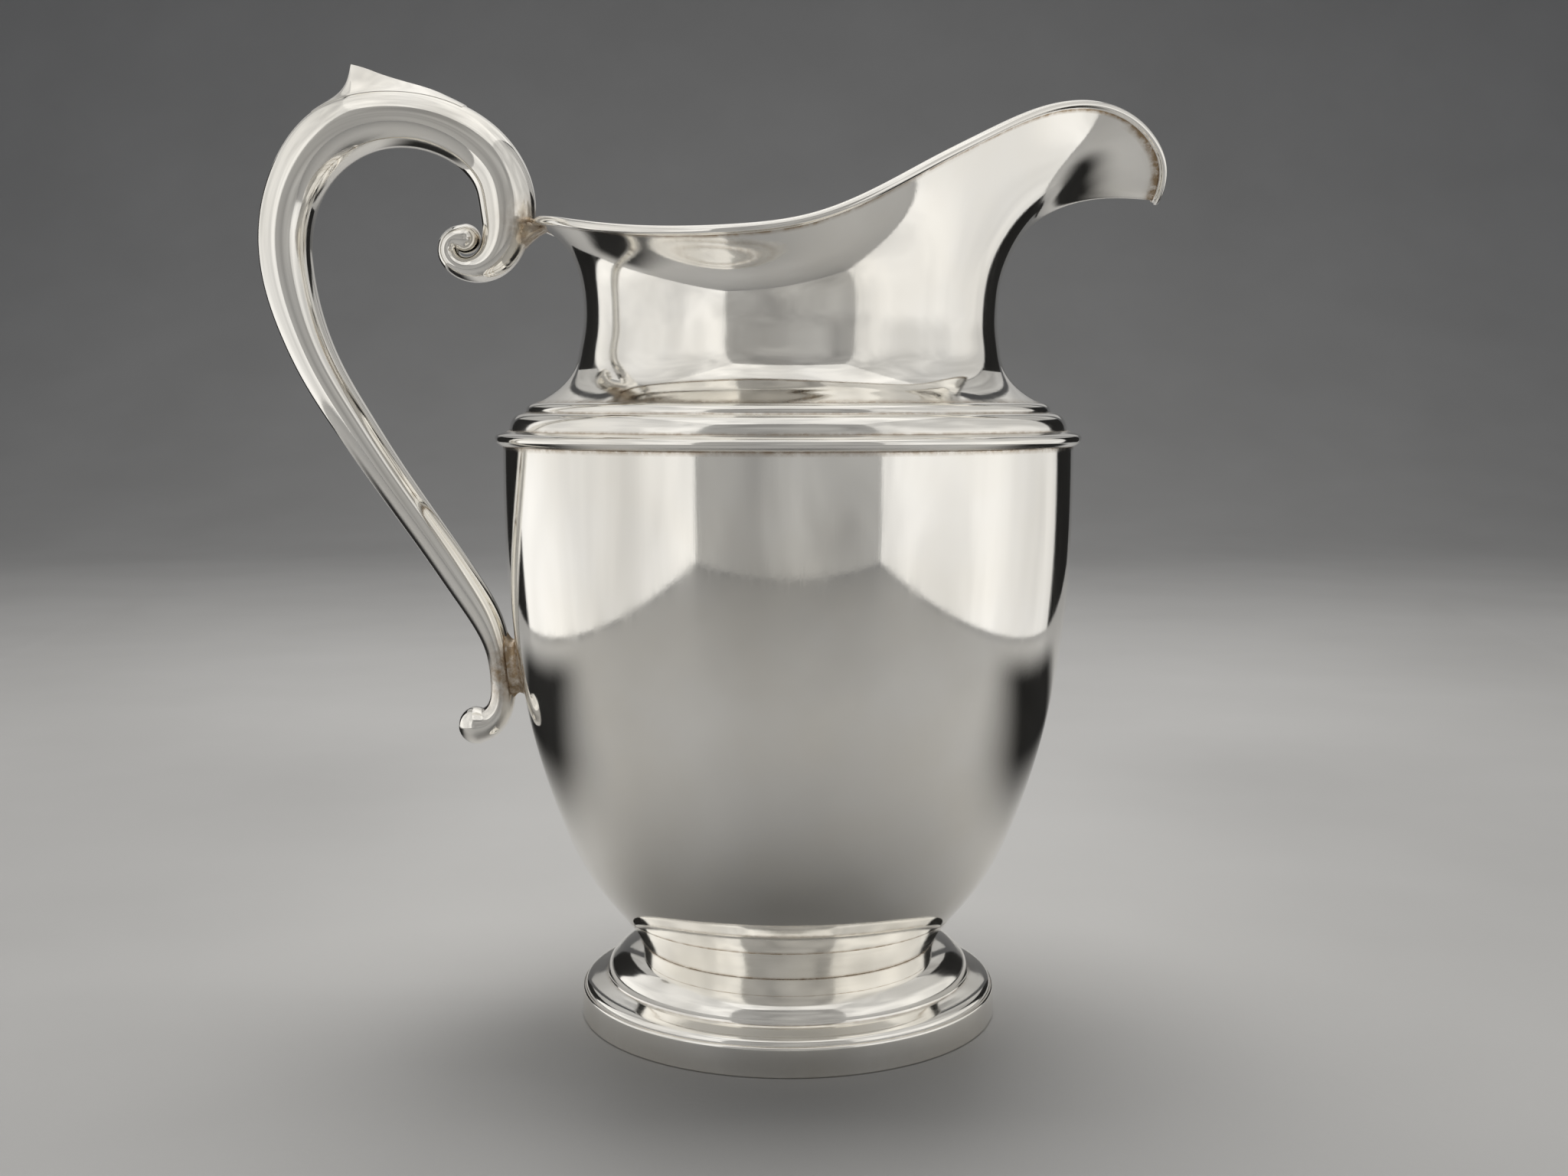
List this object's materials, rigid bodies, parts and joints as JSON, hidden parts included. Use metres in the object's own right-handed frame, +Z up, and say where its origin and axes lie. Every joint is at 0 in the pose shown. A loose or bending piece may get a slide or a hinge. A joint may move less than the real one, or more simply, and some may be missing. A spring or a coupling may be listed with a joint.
{
  "type": "water pitcher",
  "caption": "Sterling silver water pitcher: bellied body on a domed foot, stepped shoulder, flared neck with a deep pouring lip, and a hollow scroll handle with a thumb spur",
  "frame": {"origin": "on the body's axis, in the plane that the foot stands on", "axes": "+Z up along the body's axis, +X towards the pouring lip, the handle along -X, +Y across"},
  "size_m": [0.215, 0.1398, 0.2283],
  "materials": {
    "foot_band": "polished silver",
    "foot_dome": "polished silver",
    "foot_collar": "polished silver",
    "vase_body": "polished silver",
    "shoulder_ring": "polished silver",
    "stepped_shoulder": "polished silver",
    "neck_and_spout": "polished silver",
    "rim_bead": "polished silver",
    "handle_half_near": "polished silver",
    "handle_half_far": "polished silver",
    "thumb_spur": "polished silver",
    "upper_handle_mount": "silver solder, tarnished warm brown",
    "lower_handle_mount": "silver solder and pad, tarnished warm brown"
  },
  "bodies": {
    "root": {"foot_band": "foot_band", "foot_dome": "foot_dome", "foot_collar": "foot_collar", "vase_body": "vase_body", "shoulder_ring": "shoulder_ring", "stepped_shoulder": "stepped_shoulder", "neck_and_spout": "neck_and_spout", "rim_bead": "rim_bead", "handle_half_near": "handle_half_near", "handle_half_far": "handle_half_far", "thumb_spur": "thumb_spur", "upper_handle_mount": "upper_handle_mount", "lower_handle_mount": "lower_handle_mount"}
  },
  "joints": []
}
